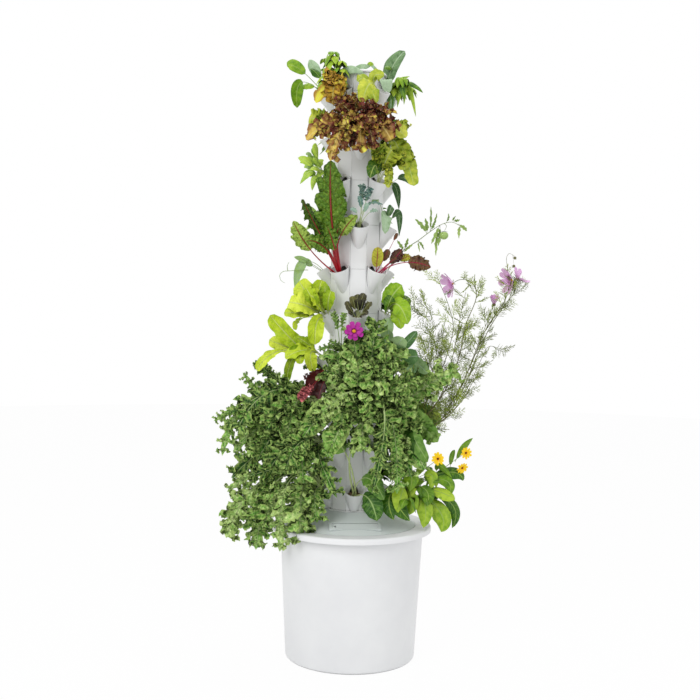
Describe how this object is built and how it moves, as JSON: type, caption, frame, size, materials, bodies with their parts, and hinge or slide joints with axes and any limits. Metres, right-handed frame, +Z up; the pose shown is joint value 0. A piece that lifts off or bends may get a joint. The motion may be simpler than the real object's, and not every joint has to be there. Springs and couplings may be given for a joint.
{
  "type": "planted vertical hydroponic tower on a reservoir bucket",
  "caption": "Round hydroponic reservoir bucket with a domed lid and hatch, under a ten-sided tower of staggered planting cups with leafy greens, herbs and flowers growing in them.",
  "frame": {"origin": "on the tower's axis, at the flat underside of the bucket", "axes": "+Z up along the tower's axis; the front column of cups faces -Y and +X is to the right seen from the front"},
  "size_m": [1.0212, 0.5177, 1.9391],
  "materials": {
    "white_plastic": "semi-gloss white moulding",
    "lid_plastic": "satin pale grey-green moulding",
    "panel_plastic": "satin off-white moulding",
    "black_plastic": "satin black moulding",
    "clear_white": "extruded pipe",
    "rubber": "soft rubber",
    "steel": "stainless",
    "plug_fibre": "coir fibre",
    "kale_leaf": "living leaf, satin",
    "red_leaf": "living leaf, satin",
    "gold_leaf": "living leaf, satin",
    "lettuce_leaf": "living leaf, satin",
    "lime_leaf": "living leaf, satin",
    "burgundy_leaf": "living leaf, satin",
    "chard_leaf": "living leaf, satin",
    "beet_leaf": "living leaf, satin",
    "basil_leaf": "living leaf, satin",
    "calendula_petal": "living leaf, satin",
    "collard_leaf": "living leaf, satin",
    "cosmos_leaf": "living leaf, satin",
    "tomato_leaf": "living leaf, satin",
    "bok_choy_leaf": "living leaf, satin",
    "cabbage_leaf": "living leaf, satin",
    "rosette_leaf": "living leaf, satin",
    "sage_leaf": "living leaf, satin",
    "young_kale_leaf": "living leaf, satin",
    "pea_leaf": "living leaf, satin",
    "zinnia_petal": "living leaf, satin",
    "herb_leaf": "living leaf, satin",
    "greens_leaf": "living leaf, satin"
  },
  "bodies": {
    "reservoir": {"reservoir_bucket": "white_plastic", "reservoir_rim": "white_plastic", "lid_seal": "rubber", "pump_body": "black_plastic", "pump_screen": "black_plastic", "impeller_shaft": "steel", "pump_outlet": "black_plastic", "pump_feet": "rubber"},
    "impeller": {"pump_impeller": "white_plastic"},
    "hatch": {"access_hatch": "lid_plastic"},
    "cap": {"top_cap": "panel_plastic"},
    "seedling": {"seedling_plug": "plug_fibre", "dark_rosette": "rosette_leaf"},
    "tower": {"reservoir_lid": "lid_plastic", "hatch_pin": "steel", "cable_grommet": "rubber", "tower_base": "panel_plastic", "base_screws": "steel", "lower_filler_panels": "panel_plastic", "upper_filler_panels": "panel_plastic", "panel_ring_01": "panel_plastic", "panel_ring_02": "panel_plastic", "panel_ring_03": "panel_plastic", "panel_ring_04": "panel_plastic", "panel_ring_05": "panel_plastic", "panel_ring_06": "panel_plastic", "panel_ring_07": "panel_plastic", "panel_ring_08": "panel_plastic", "panel_ring_09": "panel_plastic", "panel_ring_10": "panel_plastic", "drip_head": "panel_plastic", "riser_pipe_lower": "clear_white", "riser_pipe_upper": "clear_white", "pipe_coupling": "clear_white", "root_plugs": "plug_fibre", "kale_left": "kale_leaf", "kale_centre": "kale_leaf", "kale_right": "kale_leaf", "red_lettuce": "red_leaf", "gold_lettuce": "gold_leaf", "green_lettuce": "lettuce_leaf", "lime_lettuce": "lime_leaf", "burgundy_lettuce": "burgundy_leaf", "chard": "chard_leaf", "beet": "beet_leaf", "top_basil": "basil_leaf", "low_basil": "basil_leaf", "calendula": "calendula_petal", "collard": "collard_leaf", "cosmos": "cosmos_leaf", "tomato_vine": "tomato_leaf", "bok_choy": "bok_choy_leaf", "cabbage_seedlings": "cabbage_leaf", "sage": "sage_leaf", "young_kale": "young_kale_leaf", "pea_shoots": "pea_leaf", "pink_zinnia": "zinnia_petal", "back_herbs": "herb_leaf", "back_greens": "greens_leaf"}
  },
  "joints": [
    {"name": "tower_lift", "type": "slide", "parent": "reservoir", "child": "tower", "axis": [0, 0, 1], "range_m": [0, 0.42]},
    {"name": "hatch_hinge", "type": "hinge", "parent": "tower", "child": "hatch", "pos_m": [0, -0.14472, 0.45091], "axis": [-1, 0, 0], "range_deg": [0, 100]},
    {"name": "cap_lift", "type": "slide", "parent": "tower", "child": "cap", "axis": [0, 0, 1], "range_m": [0, 0.12]},
    {"name": "seedling_pull", "type": "slide", "parent": "tower", "child": "seedling", "axis": [0, -0.454, 0.891], "range_m": [0, 0.07]},
    {"name": "impeller_spin", "type": "hinge", "parent": "reservoir", "child": "impeller", "pos_m": [0, -0.02, 0.0443], "axis": [0, 1, 0], "continuous": true}
  ]
}
